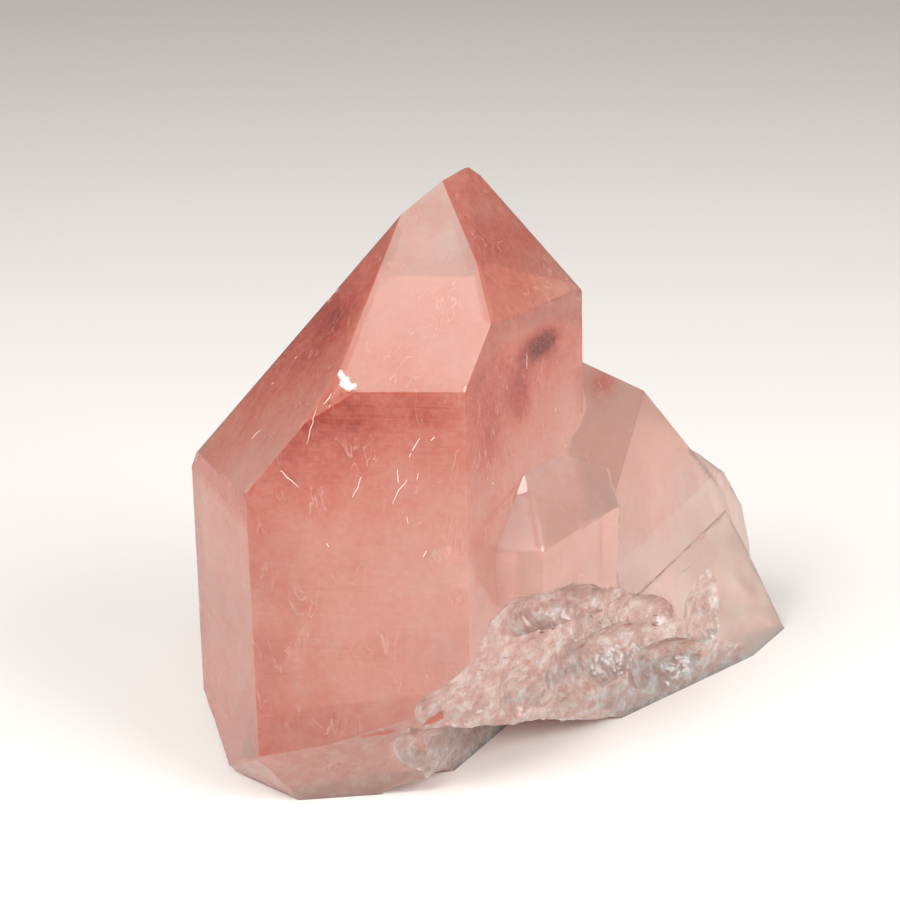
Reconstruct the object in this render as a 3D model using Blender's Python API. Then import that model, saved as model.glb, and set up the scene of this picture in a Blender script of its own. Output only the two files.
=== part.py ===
"""Lemurian quartz cluster: one grown piece, modelled in metres with +Z up.

A stout main crystal stands almost upright. A small crystal grows on its right side and a second crystal,
whose tip is broken, stands behind them. A rough broken root joins the three and rests on the ground.

Every crystal is a block cut by flat faces. A face is given by its turn (degrees around the upright axis,
0 to the front, 90 to the right), its slope (degrees up from level) and its distance from the crystal's centre.
In quartz the six side faces stand 60 degrees apart and the point's faces lean in by about 38 degrees.
"""

import math

import bmesh
import bpy
from mathutils import Matrix, Vector, noise

MM = 0.001

# Driving dimensions, in millimetres and degrees.
LEAN_BACK = 4.6            # the crystals' long axis leans away from the front
LEAN_LEFT = 0.8            # and very slightly to the left
BLOCK = 160.0              # edge of the raw block that each crystal is cut from
ORIGIN = (0.0, 0.0, 0.0)

MAIN_CENTRE = (-3.0, -3.0, 28.6)
MAIN_SIDES = [(-4.3, 1.6, 14.0), (56.9, 1.2, 8.9), (116.2, 0.2, 12.0),
              (176.0, 0.0, 14.0), (-123.8, -0.6, 19.5), (-64.1, 0.4, 21.05)]
MAIN_POINT = [(-4.6, 38.5, 16.55), (56.8, 33.5, 15.0), (116.3, 38.6, 18.0),
              (176.0, 38.2, 16.6), (-123.6, 37.7, 14.7), (-63.7, 36.6, 17.15)]
# Small facets: the worn tip, the strip beside the front face and the bruised corner at its left foot.
MAIN_WEAR = [(-40.0, 78.0, 25.0), (27.8, 43.7, 17.9), (-20.7, 25.3, 17.6)]

SMALL_CENTRE = (6.3, -5.6, 14.0)
SMALL_FACES = [(-4.3, 1.6, 9.8), (56.9, 1.2, 4.4), (-4.6, 38.5, 13.1), (56.8, 33.5, 8.55),
               (116.2, 0.0, 6.5), (176.0, 0.0, 8.0), (-123.8, 0.0, 12.0)]

# The second crystal is broken, so its upper block, lower block and foot have faces of their own.
SECOND_CENTRE = (15.3, 5.9, 12.0)
SECOND_TOP = [(47.5, 16.5, 6.05), (55.5, 9.2, 3.7), (159.2, 58.2, 15.6), (115.3, 43.0, 12.7),
              (116.2, 0.0, 12.5), (176.0, 0.0, 12.6), (-123.8, 0.0, 11.0), (-64.0, 0.0, 16.0)]
SECOND_LOW = [(55.5, 9.2, 3.4), (41.5, 7.7, 0.85), (146.8, 56.4, 13.4), (101.0, 30.0, 13.35),
              (94.1, 9.0, 14.25), (120.0, 4.0, 17.8), (172.0, 3.0, 13.4), (-123.8, 0.0, 8.0), (-64.0, 0.0, 14.0)]
SECOND_FOOT = [(55.0, 12.4, 3.87), (103.3, 27.5, 11.9), (140.0, 32.0, 12.5), (176.0, 5.0, 13.2),
               (-123.8, 0.0, 5.0), (-64.0, 0.0, 12.0), (0.0, 80.0, 2.0)]

# From here on turns, slopes and distances are those of the standing piece, from its own origin.
# The trim block: the ground, the lumps under the front, and the chipped lower edges at the left and back.
TRIM = [(0.0, -90.0, 0.0), (-1.2, -7.8, 17.75), (7.4, -22.5, 12.7), (-38.5, -35.0, 18.7),
        (30.7, -25.0, 9.3), (-129.6, -55.0, 5.4), (-160.0, -45.0, 4.6)]
# The break: the space in front of one upright plane and under two slanting ones.
BREAK = [(-138.5, 4.0, -9.9), (-86.4, 44.6, 12.3), (-164.3, 60.4, 9.6)]
# The undercut below the break's lower lip, in front of a flank that runs back to the right.
UNDERCUT = [(131.5, 71.5, 2.95), (-121.5, 3.0, -3.5)]

# Shell-shaped chips: name, place, (turn, slope, roll) it faces, (width, height, depth) radii, lift off the surface.
CHIPS = [("upper_hollow", (5.4, -10.0, 15.0), (41.5, 4.0, -12.0), (8.6, 3.8, 6.0), 4.4),
         ("lower_hollow", (11.0, -4.2, 7.6), (41.5, -8.0, -6.0), (14.5, 6.0, 8.0), 6.2),
         ("left_hollow", (-1.8, -15.9, 10.4), (38.0, -6.0, 12.0), (9.0, 5.0, 6.0), 4.5),
         ("bright_facet", (3.4, -11.2, 8.4), (50.0, 10.0, 0.0), (4.6, 4.4, 4.0), 3.0),
         ("right_hollow", (18.6, 3.0, 4.6), (36.0, -10.0, 0.0), (7.6, 4.2, 6.0), 4.7),
         ("ridge_hollow", (14.9, -1.0, 10.8), (48.0, 12.0, -20.0), (6.6, 3.4, 5.0), 3.9),
         ("lip_hollow", (6.6, -8.1, 4.4), (44.0, -16.0, 0.0), (6.4, 3.0, 4.0), 3.1),
         ("second_shell", (21.2, 6.4, 8.8), (50.0, 9.0, 0.0), (12.0, 10.5, 12.0), 10.9),
         ("second_foot_chip", (27.5, 11.0, 2.4), (50.0, -4.0, 0.0), (7.0, 4.0, 6.0), 4.9),
         ("lump_left", (-17.0, -18.6, 3.0), (-6.0, -8.0, 0.0), (8.4, 4.6, 6.0), 5.1),
         ("lump_middle", (-11.5, -18.4, 2.4), (6.0, -18.0, 10.0), (6.4, 4.2, 5.0), 4.0),
         ("lump_right", (-5.2, -16.9, 5.2), (12.0, -26.0, 0.0), (6.0, 4.4, 5.0), 3.9),
         ("left_foot", (-24.0, -6.0, 0.5), (-80.0, -40.0, 0.0), (7.0, 5.0, 6.0), 4.4),
         ("under_front", (-4.0, -13.5, 0.0), (20.0, -75.0, 0.0), (7.0, 5.0, 5.0), 4.1),
         ("back_foot", (-9.0, 9.0, 0.5), (178.0, -40.0, 0.0), (10.0, 7.0, 7.0), 4.6),
         ("second_back", (18.0, 18.5, 2.0), (168.0, -10.0, 8.0), (10.0, 7.0, 7.0), 5.2)]
CHIP_ROUGHNESS = 0.3       # how uneven a chip is, as a share of its radii
CHIP_GRAIN = 0.9           # how quickly that unevenness changes around the chip


def clear_scene():
    """Remove whatever the scene holds at the start."""
    for thing in list(bpy.data.objects):
        bpy.data.objects.remove(thing, do_unlink=True)


def new_collection(name):
    """Return a new collection linked to the scene."""
    collection = bpy.data.collections.new(name)
    bpy.context.scene.collection.children.link(collection)
    return collection


def quartz():
    """Pink quartz: clear to milky, with a glassy surface."""
    material = bpy.data.materials.new("quartz")
    material.use_nodes = True
    shader = material.node_tree.nodes["Principled BSDF"]
    shader.inputs["Base Color"].default_value = (0.79, 0.45, 0.37, 1.0)
    shader.inputs["Roughness"].default_value = 0.12
    shader.inputs["Metallic"].default_value = 0.0
    shader.inputs["IOR"].default_value = 1.544
    shader.inputs["Transmission Weight"].default_value = 0.6
    material.diffuse_color = (0.79, 0.45, 0.37, 1.0)
    return material


def facing(turn, slope):
    """Unit vector that looks out at a turn from the front and a slope above level."""
    a, b = math.radians(turn), math.radians(slope)
    return Vector((math.sin(a) * math.cos(b), -math.cos(a) * math.cos(b), math.sin(b)))


def crystal_tilt():
    """Rotation that leans the upright crystal axis back and to the left."""
    return Matrix.Rotation(math.radians(-LEAN_BACK), 3, "X") @ Matrix.Rotation(math.radians(-LEAN_LEFT), 3, "Y")


def make_object(name, bm, collection, cutter=True):
    """Turn a mesh worked out in millimetres into an object in metres."""
    bm.normal_update()
    bmesh.ops.recalc_face_normals(bm, faces=bm.faces)
    bmesh.ops.scale(bm, vec=(MM, MM, MM), verts=bm.verts)
    mesh = bpy.data.meshes.new(name)
    bm.to_mesh(mesh)
    bm.free()
    thing = bpy.data.objects.new(name, mesh)
    collection.objects.link(thing)
    if cutter:
        thing.hide_render = True
        thing.display_type = "WIRE"
    return thing


def cut_away(bm, normal, distance):
    """Cut off all that lies beyond a plane and close the cut with one face."""
    everything = bm.verts[:] + bm.edges[:] + bm.faces[:]
    cut = bmesh.ops.bisect_plane(bm, geom=everything, dist=1e-5, plane_co=normal * distance,
                                 plane_no=normal, clear_outer=True)
    edges = [item for item in cut["geom_cut"] if isinstance(item, bmesh.types.BMEdge)]
    if edges:
        bmesh.ops.edgeloop_fill(bm, edges=edges)


def cut_block(name, centre, faces, collection, tilt=None, cutter=True):
    """A raw block cut by flat faces, each at a turn, a slope and a distance from the centre."""
    bm = bmesh.new()
    bmesh.ops.create_cube(bm, size=BLOCK)
    for turn, slope, distance in faces:
        normal = facing(turn, slope)
        if tilt is not None:
            normal = tilt @ normal
        cut_away(bm, normal, distance)
    bmesh.ops.translate(bm, vec=Vector(centre), verts=bm.verts)
    return make_object(name, bm, collection, cutter)


def boolean(target, other, operation):
    """Add an exact Boolean modifier."""
    modifier = target.modifiers.new(operation.lower() + " " + other.name, "BOOLEAN")
    modifier.operation = operation
    modifier.solver = "EXACT"
    modifier.object = other


def chip(name, place, direction, radii, lift, collection, seed):
    """A lumpy ellipsoid whose deep radius points along a direction: it leaves a shell-shaped hollow."""
    width, height, depth = radii
    turn, slope, roll = direction
    out = facing(turn, slope)
    side = Matrix.Rotation(math.radians(roll), 3, out) @ facing(turn + 90.0, 0.0)
    frame = Matrix((side, out, side.cross(out))).transposed()
    bm = bmesh.new()
    bmesh.ops.create_icosphere(bm, subdivisions=4, radius=1.0)
    shift = Vector((7.3 * seed, 1.7 * seed, 3.1 * seed))
    for vert in bm.verts:
        swell = 1.0 + CHIP_ROUGHNESS * noise.noise(vert.co * CHIP_GRAIN + shift)
        local = Vector((vert.co.x * width, vert.co.y * depth, vert.co.z * height)) * swell
        vert.co = frame @ local + Vector(place) + out * lift
    return make_object(name, bm, collection)


def build():
    """Model the cluster."""
    clear_scene()
    parts = new_collection("lemurian_quartz_point")
    cutters = new_collection("cutters")
    tilt = crystal_tilt()
    body = cut_block("quartz_point", MAIN_CENTRE, MAIN_SIDES + MAIN_POINT + MAIN_WEAR, parts, tilt, cutter=False)
    body.data.materials.append(quartz())
    for name, centre, faces in [("small_crystal", SMALL_CENTRE, SMALL_FACES),
                                ("second_top", SECOND_CENTRE, SECOND_TOP),
                                ("second_low", SECOND_CENTRE, SECOND_LOW),
                                ("second_foot", SECOND_CENTRE, SECOND_FOOT)]:
        boolean(body, cut_block(name, centre, faces, cutters, tilt), "UNION")
    boolean(body, cut_block("trim", ORIGIN, TRIM, cutters), "INTERSECT")
    boolean(body, cut_block("break", ORIGIN, BREAK, cutters), "DIFFERENCE")
    boolean(body, cut_block("undercut", ORIGIN, UNDERCUT, cutters), "DIFFERENCE")
    for seed, (name, place, direction, radii, lift) in enumerate(CHIPS):
        boolean(body, chip(name, place, direction, radii, lift, cutters, seed), "DIFFERENCE")


build()
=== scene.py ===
"""Lemurian quartz cluster: the look of the crystals, their rusty veils, growth lines and broken root.

The solid's own mesh is copied, sliced along the growth lines and cut finely, so that the growth steps and the
ripples of the break are real relief. What grew inside it rides with it as pieces of its own.

A crystal face is named by its turn (degrees around the upright axis, 0 to the front, 90 to the right), its
slope (degrees up from level) and its distance in millimetres from the crystal's centre.
"""
import math

import bmesh
import bpy
import numpy as np
from mathutils import Matrix, Vector


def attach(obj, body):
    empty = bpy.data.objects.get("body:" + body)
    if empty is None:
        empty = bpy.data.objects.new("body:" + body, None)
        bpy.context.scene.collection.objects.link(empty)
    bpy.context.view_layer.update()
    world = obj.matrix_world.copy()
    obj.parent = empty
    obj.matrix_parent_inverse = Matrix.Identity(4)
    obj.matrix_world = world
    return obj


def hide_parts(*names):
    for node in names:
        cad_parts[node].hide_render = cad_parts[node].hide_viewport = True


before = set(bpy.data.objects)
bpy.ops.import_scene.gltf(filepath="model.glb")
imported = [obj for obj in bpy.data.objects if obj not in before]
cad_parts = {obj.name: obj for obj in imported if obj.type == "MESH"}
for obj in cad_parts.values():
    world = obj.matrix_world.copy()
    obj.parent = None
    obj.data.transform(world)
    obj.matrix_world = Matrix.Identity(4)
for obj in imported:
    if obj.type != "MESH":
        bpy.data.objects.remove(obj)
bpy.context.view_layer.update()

MM = 0.001

# Crystals: centre in millimetres, and how far their axis leans back and to the left.
MAIN = (-3.0, -3.0, 28.6)
SMALL = (6.3, -5.6, 14.0)
SECOND = (15.3, 5.9, 12.0)
LEAN_BACK = 4.6
LEAN_LEFT = 0.8

FACES = {
    "front": (MAIN, -4.3, 1.6, 14.0), "right": (MAIN, 56.9, 1.2, 8.9), "back_right": (MAIN, 116.2, 0.2, 12.0),
    "back": (MAIN, 176.0, 0.0, 14.0), "back_left": (MAIN, -123.8, -0.6, 19.5), "left": (MAIN, -64.1, 0.4, 21.05),
    "point_front": (MAIN, -4.6, 38.5, 16.55), "point_right": (MAIN, 56.8, 33.5, 15.0),
    "point_back_right": (MAIN, 116.3, 38.6, 18.0), "point_back": (MAIN, 176.0, 38.2, 16.6),
    "point_back_left": (MAIN, -123.6, 37.7, 14.7), "point_left": (MAIN, -63.7, 36.6, 17.15),
    "small_front": (SMALL, -4.3, 1.6, 9.8), "small_right": (SMALL, 56.9, 1.2, 4.4),
    "small_point_front": (SMALL, -4.6, 38.5, 13.1), "small_point_right": (SMALL, 56.8, 33.5, 8.55),
    "second_pink": (SECOND, 47.5, 16.5, 6.05), "second_frosted": (SECOND, 55.5, 9.2, 3.7),
    "second_low": (SECOND, 55.5, 9.2, 3.4), "second_cream": (SECOND, 41.5, 7.7, 0.85),
    "second_foot": (SECOND, 55.0, 12.4, 3.87),
    "second_back": (SECOND, 176.0, 0.0, 12.6), "second_back_left": (SECOND, -123.8, 0.0, 11.0),
}
PRISM = ("front", "right", "back_right", "back", "back_left", "left", "small_front", "small_right", "second_back",
         "second_back_left")


def linear(code, alpha=1.0):
    """Linear colour of an sRGB hex code."""
    parts = [int(code[i:i + 2], 16) / 255.0 for i in (1, 3, 5)]
    return tuple(c / 12.92 if c <= 0.04045 else ((c + 0.055) / 1.055) ** 2.4 for c in parts) + (alpha,)


def facing(turn, slope):
    """Unit vector at a turn from the front and a slope above level."""
    a, b = math.radians(turn), math.radians(slope)
    return np.array([math.sin(a) * math.cos(b), -math.cos(a) * math.cos(b), math.sin(b)])


TILT = np.array(Matrix.Rotation(math.radians(-LEAN_BACK), 3, "X") @ Matrix.Rotation(math.radians(-LEAN_LEFT), 3, "Y"))
AXIS = TILT @ np.array([0.0, 0.0, 1.0])


def face_plane(name):
    """Outward normal and distance from the origin of a named face."""
    centre, turn, slope, distance = FACES[name]
    normal = TILT @ facing(turn, slope)
    return normal, distance + float(normal @ np.array(centre))


def lattice_noise(points, cell, seed):
    """Smooth noise from -1 to 1: random values on a cubic lattice of the given cell, blended by smoothsteps."""
    count = 32
    table = np.random.default_rng(seed).uniform(-1.0, 1.0, (count, count, count))
    place = points / cell
    low = np.floor(place).astype(int)
    t = place - low
    t = t * t * (3.0 - 2.0 * t)
    total = np.zeros(len(points))
    for corner in np.ndindex(2, 2, 2):
        at = (low + corner) % count
        weight = np.prod(np.where(np.array(corner, dtype=bool), t, 1.0 - t), axis=1)
        total += weight * table[at[:, 0], at[:, 1], at[:, 2]]
    return total


def layered_noise(points, cell, seed, layers=3):
    """Sum of lattice noises, each with half the cell and half the weight of the one before."""
    total = np.zeros(len(points))
    for layer in range(layers):
        total += lattice_noise(points, cell / 2 ** layer, seed + layer) / 2 ** layer
    return total / 1.6


def smooth(value, low, high):
    """Smoothstep of a value from 0 at low to 1 at high."""
    t = np.clip((value - low) / (high - low), 0.0, 1.0)
    return t * t * (3.0 - 2.0 * t)


# ---- the crystals' mesh

def sliced_copy(node):
    """Copy the solid in millimetres, join its triangles into flat faces and slice it along the growth lines."""
    bm = bmesh.new()
    bm.from_mesh(node.data)
    bmesh.ops.scale(bm, vec=(1.0 / MM,) * 3, verts=bm.verts)
    bmesh.ops.remove_doubles(bm, verts=bm.verts, dist=0.002)
    bmesh.ops.dissolve_limit(bm, angle_limit=math.radians(0.25), verts=bm.verts, edges=bm.edges)
    rng = np.random.default_rng(5)
    heights = 1.0 + np.cumsum(rng.uniform(0.45, 1.25, 90))
    heights = heights[heights < 54.0]
    for height in heights:
        everything = bm.verts[:] + bm.edges[:] + bm.faces[:]
        bmesh.ops.bisect_plane(bm, geom=everything, dist=1e-4, plane_co=tuple(AXIS * height), plane_no=tuple(AXIS))
    return bm, heights


PLANES = {name: face_plane(name) for name in FACES}
HALVINGS = 7


def cut_finely(bm, longest, shortest):
    """Halve long edges until none is longer than the limit, which is lower off the crystal faces."""
    normals = np.array([normal for normal, _ in PLANES.values()])
    distances = np.array([distance for _, distance in PLANES.values()])
    for _ in range(HALVINGS):
        edges = bm.edges[:]
        ends = np.array([(*e.verts[0].co, *e.verts[1].co) for e in edges])
        length = np.linalg.norm(ends[:, :3] - ends[:, 3:], axis=1)
        middle = 0.5 * (ends[:, :3] + ends[:, 3:])
        off = np.abs(middle @ normals.T - distances).min(axis=1) > 0.06
        limit = np.where(off & (middle[:, 2] < 24.0) & (middle[:, 2] > 0.05), shortest, longest)
        chosen = np.flatnonzero(length > limit)
        if not len(chosen):
            break
        bmesh.ops.subdivide_edges(bm, edges=[edges[i] for i in chosen], cuts=1)
        bmesh.ops.triangulate(bm, faces=[f for f in bm.faces if len(f.verts) > 3])


def face_masks(points, normals):
    """For each named face, which of the corners lie on it: near its plane and facing as it does."""
    masks = {}
    for name, (normal, distance) in PLANES.items():
        masks[name] = (np.abs(points @ normal - distance) < 0.12) & (normals @ normal > 0.992)
    return masks


def rust_amount(points, masks):
    """Share of rusty colour at each corner: for each face, a run of values along its height, plus soft stains."""
    x, y, z = points.T
    rust = np.interp(z, [0.0, 12.0, 26.0, 36.0, 44.0], [0.45, 0.42, 0.45, 0.6, 0.6])
    runs = {
        "front": np.interp(z, [5.0, 12.0, 20.0, 26.0, 32.0, 36.0, 39.0], [0.5, 0.46, 0.43, 0.47, 0.58, 0.7, 0.7])
        - 0.009 * (x + 9.0),
        "right": np.interp(z, [12.0, 21.0, 27.0, 31.0, 35.0, 38.0, 42.0], [0.25, 0.3, 0.48, 0.54, 0.64, 0.7, 0.62])
        - 0.014 * np.clip(x - 1.0, 0.0, 8.0),
        "left": np.interp(z, [3.0, 12.0, 22.0, 26.2, 27.4, 31.0], [0.52, 0.46, 0.42, 0.48, 0.7, 0.76]),
        "point_front": np.interp(z, [38.5, 41.0, 45.0, 48.5, 52.0], [0.44, 0.4, 0.32, 0.2, 0.12]),
        "point_left": np.interp(z, [28.0, 32.0, 36.0, 40.0, 46.0, 51.0], [0.52, 0.58, 0.7, 0.8, 0.74, 0.6])
        - 0.04 * np.clip(-8.0 - y, 0.0, 6.0),
        "point_right": np.interp(z, [41.0, 44.0, 48.0, 53.0], [0.5, 0.58, 0.64, 0.6]) - 0.03 * np.clip(x - 3.0, 0, 6),
        "small_front": np.full(len(x), 0.28), "small_right": np.full(len(x), 0.25),
        "small_point_front": np.full(len(x), 0.22), "small_point_right": np.full(len(x), 0.2),
        "second_pink": np.full(len(x), 0.26), "second_frosted": np.interp(z, [6.0, 16.0, 24.0], [0.08, 0.14, 0.24]),
        "second_low": np.full(len(x), 0.08), "second_cream": 0.06 + 0.03 * np.clip(x - 22.0, 0.0, 8.0),
        "second_foot": np.full(len(x), 0.1),
    }
    for name, run in runs.items():
        rust = np.where(masks[name], run, rust)
    for name, place, radii, amount in STAINS:
        offset = (points - np.array(place)) / np.array(radii)
        rust = rust + np.where(masks[name], amount * np.exp(-np.sum(offset ** 2, axis=1) ** 1.5), 0.0)
    return rust


# Rusty clouds that lie under one face: face, middle, radii along x, y and z, and how much they add.
STAINS = [
    ("front", (-11.8, -15.7, 36.4), (3.6, 9.0, 1.8), 0.14),
    ("front", (-14.5, -15.8, 33.0), (3.0, 9.0, 2.6), 0.08),
    ("front", (-5.0, -16.5, 37.2), (3.0, 9.0, 1.3), 0.08),
    ("right", (5.0, -5.8, 39.6), (2.7, 3.6, 1.35), 0.42),
    ("right", (3.0, -9.0, 36.3), (1.6, 2.2, 2.4), 0.22),
    ("right", (0.4, -13.4, 35.0), (1.4, 2.0, 3.0), 0.12),
    ("point_left", (-12.5, -7.2, 42.5), (2.4, 4.0, 3.2), 0.1),
    ("second_pink", (11.3, 3.0, 32.9), (1.6, 2.2, 1.2), 0.28),
    ("second_cream", (28.9, 16.0, 8.7), (1.2, 1.6, 2.2), 0.28),
    ("second_cream", (24.4, 13.0, 12.3), (0.8, 1.2, 2.4), 0.18),
]


def growth_relief(points, heights):
    """Depth of the growth steps: a random offset at each growth line, straight between lines, fading sideways."""
    offsets = np.random.default_rng(8).uniform(0.0, 0.035, len(heights))
    along = np.interp(points @ AXIS, heights, offsets)
    fade = 0.55 + 0.45 * lattice_noise(points * np.array([1.0, 1.0, 0.25]), 7.0, 31)
    return -along * np.clip(fade, 0.1, 1.0)


def break_relief(points):
    """Depth of the break's ripples and bites: rings around strike points, plus ridged noise of two sizes."""
    depth = np.zeros(len(points))
    for centre, spacing, reach in STRIKES:
        away = np.linalg.norm(points - np.array(centre), axis=1)
        depth += 0.1 * (1.0 + np.sin(2.0 * np.pi * away / spacing)) * np.exp(-(away / reach) ** 2)
    bites = 1.0 - np.abs(layered_noise(points, 2.6, 51))
    crumbs = 1.0 - np.abs(layered_noise(points, 0.9, 61, layers=2))
    return -(depth + 0.35 * (1.0 - bites) + 0.16 * (1.0 - crumbs))


# Points where blows struck the root: place, spacing of the ripples and how far they run, in millimetres.
STRIKES = [((3.0, -15.0, 19.0), 1.3, 6.0), ((12.0, -6.0, 13.0), 1.5, 7.0), ((19.0, 1.0, 8.0), 1.2, 5.0),
           ((-3.0, -19.0, 12.0), 1.2, 5.0), ((24.0, 8.0, 14.0), 1.6, 7.0)]


def crystals(node):
    """The finely cut crystals, with the growth steps and the break's ripples as relief."""
    bm, heights = sliced_copy(node)
    cut_finely(bm, 1.1, 0.5)
    bm.normal_update()
    mesh = bpy.data.meshes.new("crystals")
    bm.to_mesh(mesh)
    bm.free()
    count = len(mesh.vertices)
    points = np.empty(count * 3)
    mesh.vertices.foreach_get("co", points)
    points = points.reshape(-1, 3)
    normals = np.empty(count * 3)
    mesh.vertex_normals.foreach_get("vector", normals)
    normals = normals.reshape(-1, 3)
    corner_vertex = np.empty(len(mesh.loops), dtype=np.int32)
    mesh.loops.foreach_get("vertex_index", corner_vertex)
    face_normals = np.empty(len(mesh.polygons) * 3)
    mesh.polygon_normals.foreach_get("vector", face_normals)
    totals = np.empty(len(mesh.polygons), dtype=np.int32)
    mesh.polygons.foreach_get("loop_total", totals)
    corner_normal = np.repeat(face_normals.reshape(-1, 3), totals, axis=0)
    corner_point = points[corner_vertex]
    masks = face_masks(corner_point, corner_normal)
    on_face = np.any(list(masks.values()), axis=0)
    prism = np.any([masks[name] for name in PRISM], axis=0)
    x, y, z = corner_point.T
    broken = (~on_face & (z < 21.5) & (corner_normal[:, 2] > -0.99)).astype(float)
    broken *= np.where((x < -3.0) & (y < -10.0) & (z < 11.0) & (corner_normal[:, 0] < 0.35), 0.3, 1.0)
    frosted = masks["second_frosted"] | masks["second_low"] | masks["second_cream"] | masks["second_foot"]
    tint = np.stack([rust_amount(corner_point, masks), broken, frosted, prism], axis=1).astype(np.float32)
    # Spread the corner marks to the vertices they meet in.
    shares = np.zeros((count, 4))
    np.add.at(shares, corner_vertex, tint)
    meets = np.bincount(corner_vertex, minlength=count)[:, None]
    shares /= np.maximum(meets, 1)
    relief = growth_relief(points, heights) * shares[:, 3] + break_relief(points) * shares[:, 1]
    relief *= points[:, 2] > 0.02
    moved = points + normals * relief[:, None]
    moved[:, 2] = np.maximum(moved[:, 2], 0.0)
    mesh.vertices.foreach_set("co", (moved * MM).ravel())
    layer = mesh.color_attributes.new("growth", "FLOAT_COLOR", "CORNER")
    layer.data.foreach_set("color", tint.ravel())
    mesh.update()
    mesh.set_sharp_from_angle(angle=math.radians(18.0))
    return mesh


# ---- what grew inside the crystals

MAIN_FACES = [name for name, face in FACES.items() if face[0] is MAIN]


def inside_main(points, margin):
    """Whether points lie inside the main crystal, at least a margin behind each of its faces."""
    normals = np.array([PLANES[name][0] for name in MAIN_FACES])
    distances = np.array([PLANES[name][1] for name in MAIN_FACES])
    return np.all(points @ normals.T <= distances - margin, axis=1) & (points[:, 2] > 1.5)


def layer_points(rng, face, count, low, high, mean_depth):
    """Random points in layers behind a face: a box of points moved onto planes at exponential depths."""
    normal, distance = PLANES[face]
    points = rng.uniform(low, high, (count, 3))
    depth = 0.06 + np.minimum(rng.exponential(mean_depth, count), 4.0 * mean_depth)
    points -= ((points @ normal) - (distance - depth))[:, None] * normal
    return points[inside_main(points, 0.05)]


def mesh_piece(name, points, faces, material):
    """A piece from points in millimetres and faces, riding with the solid."""
    mesh = bpy.data.meshes.new(name)
    mesh.from_pydata((points * MM).tolist(), [], faces.tolist())
    mesh.polygons.foreach_set("use_smooth", np.ones(len(mesh.polygons), dtype=bool))
    mesh.update()
    mesh.materials.append(material)
    piece = put(name, mesh)
    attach(piece, "root")
    return piece


def flakes(name, rng, centres, sizes, normal, material):
    """Thin scales: each is a six-sided disc of uneven radius, tipped a little off a common plane."""
    count = len(centres)
    tip = normal + rng.normal(0.0, 0.35, (count, 3))
    tip /= np.linalg.norm(tip, axis=1)[:, None]
    side = np.cross(tip, rng.normal(0.0, 1.0, (count, 3)))
    side /= np.linalg.norm(side, axis=1)[:, None]
    other = np.cross(tip, side)
    angle = np.arange(6) * np.pi / 3.0
    radius = sizes[:, None] * rng.uniform(0.45, 1.0, (count, 6))
    points = centres[:, None, :] + (radius * np.cos(angle))[:, :, None] * side[:, None, :] \
        + (radius * 0.6 * np.sin(angle))[:, :, None] * other[:, None, :]
    faces = np.arange(count * 6).reshape(count, 6)
    return mesh_piece(name, points.reshape(-1, 3), faces, material)


def hairs(name, rng, starts, ends, bend, radius, material):
    """Fine threads: a three-sided tube along a bowed line from start to end, thick in the middle."""
    count, steps = len(starts), 9
    t = np.linspace(0.0, 1.0, steps)
    along = ends - starts
    bow = np.cross(along, rng.normal(0.0, 1.0, (count, 3)))
    bow *= (bend * np.linalg.norm(along, axis=1) / np.linalg.norm(bow, axis=1))[:, None]
    shake = rng.normal(0.0, 0.012, (count, steps, 3)) * np.linalg.norm(along, axis=1)[:, None, None]
    line = starts[:, None] + along[:, None] * t[:, None] + bow[:, None] * (4.0 * t * (1.0 - t))[:, None] + shake
    side = np.cross(along, (0.3, 0.5, 0.81))
    side /= np.linalg.norm(side, axis=1)[:, None]
    other = np.cross(along / np.linalg.norm(along, axis=1)[:, None], side)
    thick = radius * (0.15 + 0.85 * np.sin(np.pi * t))
    angle = np.arange(3) * 2.0 * np.pi / 3.0
    ring = np.cos(angle)[:, None] * side[:, None, None] + np.sin(angle)[:, None] * other[:, None, None]
    points = line[:, :, None] + ring * thick[:, None, None]
    at = np.arange(count * steps * 3).reshape(count, steps, 3)
    turn = np.roll(at, -1, axis=2)
    faces = np.stack([at[:, :-1], turn[:, :-1], turn[:, 1:], at[:, 1:]], axis=-1).reshape(-1, 4)
    return mesh_piece(name, points.reshape(-1, 3), faces, material)


def veil(name, seed, centre, along, up, size, crumple, cover, material):
    """A crumpled healed crack: a grid bent by noise, whose ragged outline follows noise over a disc."""
    count = 70
    u, v = np.meshgrid(np.linspace(-1.0, 1.0, count), np.linspace(-1.0, 1.0, count), indexing="ij")
    along, up = np.array(along, dtype=float), np.array(up, dtype=float)
    along /= np.linalg.norm(along)
    up -= along * (up @ along)
    up /= np.linalg.norm(up)
    points = np.array(centre) + u.reshape(-1, 1) * along * size[0] + v.reshape(-1, 1) * up * size[1]
    points += np.cross(along, up) * (crumple * layered_noise(points, 6.0, seed, layers=4))[:, None]
    rim = u.ravel() ** 2 + v.ravel() ** 2 + 0.5 * layered_noise(points, 5.0, seed + 9, layers=4)
    keep = (rim < cover) & inside_main(points, 0.15)
    at = np.arange(count * count).reshape(count, count)
    quads = np.stack([at[:-1, :-1], at[1:, :-1], at[1:, 1:], at[:-1, 1:]], axis=-1).reshape(-1, 4)
    quads = quads[keep[quads].all(axis=1)]
    used, inverse = np.unique(quads, return_inverse=True)
    return mesh_piece(name, points[used], inverse.reshape(-1, 4), material)


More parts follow.
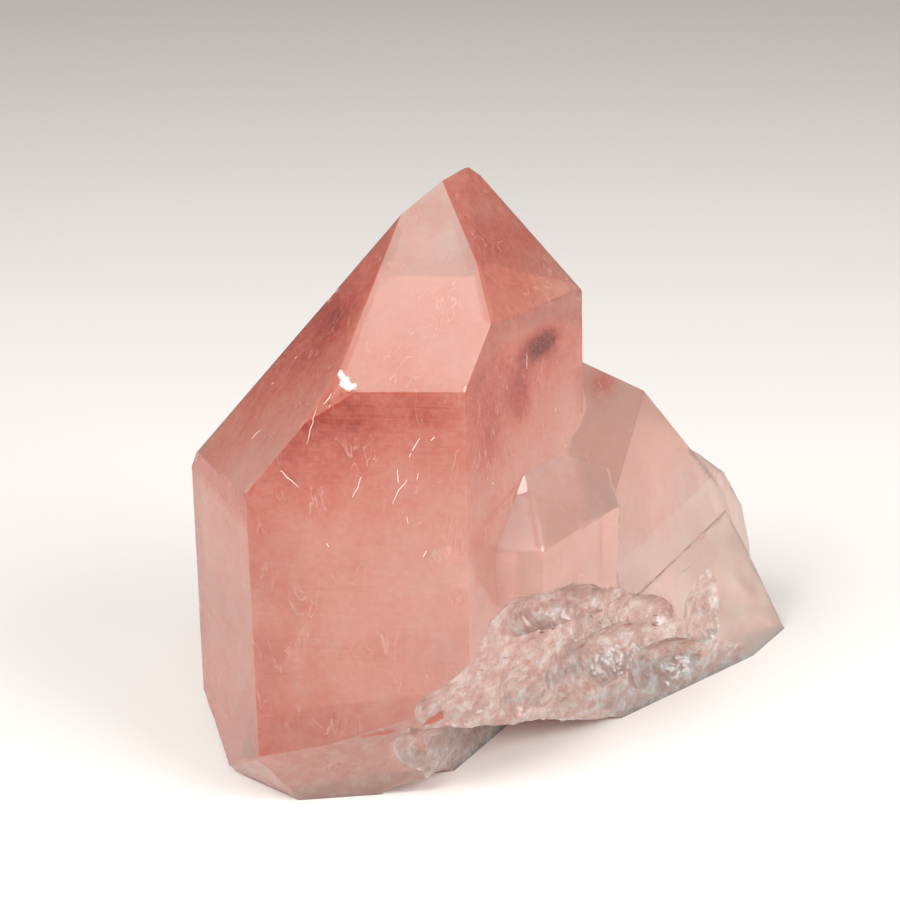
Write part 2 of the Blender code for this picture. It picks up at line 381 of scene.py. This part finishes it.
def inclusions():
    """Rust in growth layers under the faces, pale threads, milky veils, a healed break and feathery cracks."""
    rng = np.random.default_rng(21)
    dust = plain("hematite_dust", "#9a4034", 0.5)
    dark = plain("dense_hematite", "#7c2e28", 0.5)
    pale = plain("air_filled_threads", "#fbece4", 0.4)
    milk = plain("milky_veil", "#f3cbbf", 0.8, alpha=0.35)
    rusty = plain("rusty_healed_break", "#b9604f", 0.6, alpha=0.75)
    layers = [("point_right", 1500, (-3, -14, 40), (10, 2, 54), 0.5), ("point_left", 1300, (-22, -16, 34), (-3, 4, 53), 0.5),
              ("front", 900, (-20, -20, 31), (0, -10, 39), 0.7), ("right", 900, (-2, -17, 31), (10, 2, 43), 0.6)]
    for face, count, low, high, depth in layers:
        centres = layer_points(rng, face, count, low, high, depth)
        flakes("rust_" + face, rng, centres, rng.uniform(0.05, 0.22, len(centres)), PLANES[face][0], dust)
    patch = np.array([4.9, -5.6, 39.6]) + rng.normal(0.0, 1.0, (420, 3)) * (1.2, 1.8, 0.7)
    patch -= ((patch @ PLANES["right"][0]) - (PLANES["right"][1] - rng.uniform(0.1, 1.2, 420)))[:, None] \
        * PLANES["right"][0]
    flakes("dark_patch", rng, patch, rng.uniform(0.08, 0.3, 420), PLANES["right"][0], dark)
    veil("veil_front", 71, (-9.0, -10.0, 26.0), (1, 0.1, 0.1), (0, -0.2, 1), (11.0, 15.0), 1.6, 0.75, milk)
    veil("veil_middle", 81, (-10.0, -4.0, 22.0), (1, -0.3, 0), (0, 0.15, 1), (14.0, 20.0), 2.4, 0.8, milk)
    veil("veil_back", 91, (-6.0, 3.0, 24.0), (1, 0.2, 0), (0, 0.1, 1), (16.0, 22.0), 2.0, 0.9, milk)
    veil("veil_low", 95, (-10.0, -8.0, 8.0), (1, 0, 0.1), (0, 1, 0.25), (13.0, 9.0), 1.2, 0.9, milk)
    veil("healed_break", 101, (-14.0, -15.0, 7.6), (1, 0.02, 0.17), (0, 1, 0.1), (10.5, 3.9), 0.5, 1.3, rusty)
    for number, (place, lean) in enumerate(FEATHERS):
        veil("feather_%d" % number, 111 + number, place, (1, 0.5, 0.1), lean, (1.7, 1.3), 0.7, 0.7, pale)
    threads(rng, pale)


# White feathery cracks low on the right of the front face: middle, and which way each leans.
FEATHERS = [((-3.6, -16.6, 24.4), (0.2, 0.5, 1.0)), ((-2.4, -16.3, 22.6), (-0.5, 0.6, 1.0)),
            ((-4.4, -16.8, 22.2), (0.6, 0.3, 1.0))]


def threads(rng, material):
    """Pale threads under the front faces, most of them near the point and leaning along the growth."""
    for face, count, low, high, reach in [("front", 60, (-19, -20, 24), (-1, -10, 38), 3.2),
                                          ("point_left", 26, (-24, -16, 28), (-5, -3, 50), 3.0),
                                          ("point_front", 30, (-12, -17, 39), (0, -3, 53), 1.6),
                                          ("right", 26, (-1, -17, 22), (9, 0, 42), 2.4)]:
        normal, _ = PLANES[face]
        starts = layer_points(rng, face, count, low, high, 0.12)
        lean = np.array([0.35, 0.0, 1.0]) + rng.normal(0.0, 0.35, (len(starts), 3))
        lean -= (lean @ normal)[:, None] * normal
        ends = starts + lean * (reach * rng.uniform(0.25, 1.0, len(starts)))[:, None]
        good = inside_main(ends, 0.03)
        hairs("threads_" + face, rng, starts[good], ends[good], 0.08, 0.035, material)


# ---- materials

def plain(name, code, roughness, alpha=1.0):
    """Matte matter with one colour, let through in part where it is a thin film."""
    material = bpy.data.materials.new(name)
    material.use_nodes = True
    shader = material.node_tree.nodes["Principled BSDF"]
    shader.inputs["Base Color"].default_value = linear(code)
    shader.inputs["Roughness"].default_value = roughness
    shader.inputs["Alpha"].default_value = alpha
    return material


def add(tree, kind, inputs=None, **settings):
    """Add a node with its settings, and set or link its inputs."""
    node = tree.nodes.new(kind)
    for name, value in settings.items():
        setattr(node, name, value)
    for name, value in (inputs or {}).items():
        if isinstance(value, bpy.types.NodeSocket):
            tree.links.new(value, node.inputs[name])
        else:
            node.inputs[name].default_value = value
    return node


def ramp(tree, factor, stops):
    """A colour ramp through (position, hex colour) stops."""
    node = add(tree, "ShaderNodeValToRGB", {"Fac": factor})
    elements = node.color_ramp.elements
    while len(elements) < len(stops):
        elements.new(0.5)
    for element, (position, code) in zip(elements, stops):
        element.position = position
        element.color = linear(code)
    return node.outputs["Color"]


def math_node(tree, operation, first, second=0.0, clamp=False):
    """One step of arithmetic."""
    return add(tree, "ShaderNodeMath", {0: first, 1: second}, operation=operation, use_clamp=clamp).outputs[0]


def quartz():
    """Milky to clear quartz, glassy on its grown faces: light goes in, scatters on veils and rusty dust."""
    material = bpy.data.materials.new("milky_quartz")
    material.use_nodes = True
    tree = material.node_tree
    shader = tree.nodes["Principled BSDF"]
    output = tree.nodes["Material Output"]
    here = add(tree, "ShaderNodeTexCoord").outputs["Object"]
    marks = add(tree, "ShaderNodeAttribute", attribute_name="growth")
    parts = add(tree, "ShaderNodeSeparateColor", {"Color": marks.outputs["Color"]})
    rust, broken, frosted = parts.outputs["Red"], parts.outputs["Green"], parts.outputs["Blue"]
    prism = marks.outputs["Alpha"]
    # Clouds of rust are some 4 mm across, their mottling 0.7 mm, and single specks 0.2 mm.
    cloud = add(tree, "ShaderNodeTexNoise", {"Vector": here, "Scale": 260.0, "Detail": 5.0, "Roughness": 0.6})
    mottle = add(tree, "ShaderNodeTexNoise", {"Vector": here, "Scale": 1500.0, "Detail": 4.0, "Roughness": 0.7})
    uneven = math_node(tree, "MULTIPLY_ADD", cloud.outputs["Fac"], 0.36)
    uneven.node.inputs[2].default_value = -0.18
    patchy = math_node(tree, "MULTIPLY", math_node(tree, "SUBTRACT", mottle.outputs["Fac"], 0.5),
                       math_node(tree, "MULTIPLY", rust, 0.55))
    amount = math_node(tree, "ADD", math_node(tree, "ADD", rust, uneven), patchy, clamp=True)
    pink = ramp(tree, amount, [(0.0, "#f3e2d6"), (0.2, "#e5beb2"), (0.45, "#dea494"), (0.65, "#d4806f"),
                               (0.82, "#bd5a4c"), (1.0, "#8c3a34")])
    # Threads: thin pale lines where a stretched noise crosses its middle value.
    drawn = add(tree, "ShaderNodeMapping", {"Vector": here, "Scale": (420.0, 420.0, 130.0),
                                            "Rotation": (0.15, 0.5, 0.1)})
    thread = add(tree, "ShaderNodeTexNoise", {"Vector": drawn.outputs[0], "Scale": 1.0, "Detail": 3.0,
                                              "Roughness": 0.55, "Distortion": 0.6})
    middle = math_node(tree, "ABSOLUTE", math_node(tree, "SUBTRACT", thread.outputs["Fac"], 0.5))
    line = add(tree, "ShaderNodeMapRange", {"Value": middle, 1: 0.0, 2: 0.012, 3: 1.0, 4: 0.0})
    gate = add(tree, "ShaderNodeMapRange", {"Value": cloud.outputs["Fac"], 1: 0.5, 2: 0.62, 3: 0.0, 4: 0.5})
    threads = math_node(tree, "MULTIPLY", line.outputs[0], gate.outputs[0])
    veined = add(tree, "ShaderNodeMix", {0: threads, 6: pink, 7: linear("#f7ded4")}, data_type="RGBA")
    # The break's own colour is pale pink-white; a noise scatters painted white glints and painted mauve grey shade
    # over it.
    break_glint_shade_noise = add(tree, "ShaderNodeTexNoise", {"Vector": here, "Scale": 700.0, "Detail": 6.0, "Roughness": 0.7})
    # Ramp from painted shade (mauve grey) through the break's own pale pink to painted glints (near white).
    pale = ramp(tree, break_glint_shade_noise.outputs["Fac"], [(0.3, "#cfa79e"), (0.5, "#ecd0c6"), (0.62, "#fff8f2")])
    colour = add(tree, "ShaderNodeMix", {0: broken, 6: veined.outputs[2], 7: pale}, data_type="RGBA")
    # Growth lines lie across the crystal about every 0.3 mm; the break is crushed at 0.4 mm.
    stretched = add(tree, "ShaderNodeMapping", {"Vector": here, "Scale": (60.0, 60.0, 3200.0)})
    lines = add(tree, "ShaderNodeTexNoise", {"Vector": stretched.outputs[0], "Scale": 1.0, "Detail": 3.0})
    shards = add(tree, "ShaderNodeTexVoronoi", {"Vector": here, "Scale": 1600.0}, feature="F1")
    height = math_node(tree, "ADD", math_node(tree, "MULTIPLY", lines.outputs["Fac"],
                                              math_node(tree, "MULTIPLY", prism, 0.25)),
                       math_node(tree, "MULTIPLY", shards.outputs["Distance"], broken))
    bump = add(tree, "ShaderNodeBump", {"Height": height, "Strength": 0.5, "Distance": 0.0002})
    rough = add(tree, "ShaderNodeMapRange", {"Value": frosted, 1: 0.0, 2: 1.0, 3: 0.1, 4: 0.32})
    rough = math_node(tree, "ADD", rough.outputs[0], math_node(tree, "MULTIPLY", broken, 0.12))
    tree.links.new(colour.outputs[2], shader.inputs["Base Color"])
    tree.links.new(bump.outputs[0], shader.inputs["Normal"])
    tree.links.new(rough, shader.inputs["Roughness"])
    shader.inputs["IOR"].default_value = 1.544
    shader.inputs["Transmission Weight"].default_value = 0.6
    shader.inputs["Subsurface Weight"].default_value = 0.5
    shader.inputs["Subsurface Radius"].default_value = (1.0, 0.5, 0.4)
    shader.inputs["Subsurface Scale"].default_value = 0.002
    absorb = add(tree, "ShaderNodeVolumeAbsorption", {"Color": linear("#f2a595"), "Density": 12.0})
    tree.links.new(absorb.outputs[0], output.inputs["Volume"])
    return material


def paper():
    """Matte pale paper under the piece."""
    material = bpy.data.materials.new("matte_paper")
    material.use_nodes = True
    shader = material.node_tree.nodes["Principled BSDF"]
    shader.inputs["Base Color"].default_value = linear("#e9e5e1")
    shader.inputs["Roughness"].default_value = 0.9
    return material


# ---- studio

def put(name, data):
    """Link new data to the scene as an object at the origin."""
    thing = bpy.data.objects.new(name, data)
    bpy.context.scene.collection.objects.link(thing)
    return thing


def floor():
    """A large flat sheet just under the piece."""
    mesh = bpy.data.meshes.new("floor")
    mesh.from_pydata([(-2, -2, 0), (2, -2, 0), (2, 2, 0), (-2, 2, 0)], [], [(0, 1, 2, 3)])
    mesh.materials.append(paper())
    thing = put("floor", mesh)


def lamp(name, place, target, size, power, colour="#ffffff"):
    """A square soft box aimed at a point."""
    light = bpy.data.lights.new(name, "AREA")
    light.shape = "SQUARE"
    light.size = size
    light.energy = power
    light.color = linear(colour)[:3]
    thing = put(name, light)
    thing.location = place
    thing.rotation_euler = (Vector(target) - Vector(place)).to_track_quat("-Z", "Y").to_euler()


def studio():
    """Camera at the photograph's angle, soft boxes and a pale surrounding."""
    camera = bpy.data.cameras.new("camera")
    camera.lens = 80.0
    camera.sensor_width = 36.0
    camera.clip_start = 0.01
    view = put("camera", camera)
    view.location = (-0.003, -0.17051, 0.09629)
    view.rotation_euler = (math.radians(90.0 - 22.0), 0.0, 0.0)
    bpy.context.scene.camera = view
    lamp("key", (-0.22, -0.2, 0.33), (0.0, 0.0, 0.03), 0.16, 1.5)
    lamp("card", (-0.06, -0.3, 0.44), (0.0, 0.0, 0.03), 0.3, 0.5)
    lamp("fill_right", (0.3, -0.2, 0.26), (0.0, 0.0, 0.03), 0.25, 1.5)
    world = bpy.data.worlds.new("pale_room")
    world.use_nodes = True
    world.node_tree.nodes["Background"].inputs["Color"].default_value = linear("#f6f2ee")
    world.node_tree.nodes["Background"].inputs["Strength"].default_value = 0.4
    scene = bpy.context.scene
    scene.world = world
    scene.view_settings.view_transform = "Standard"
    scene.cycles.use_denoising = True


def make():
    """Dress the solid and light it."""
    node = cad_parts["quartz_point"]
    mesh = crystals(node)
    mesh.materials.append(quartz())
    piece = put("crystals", mesh)
    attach(piece, "root")
    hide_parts("quartz_point")
    inclusions()
    floor()
    studio()


make()
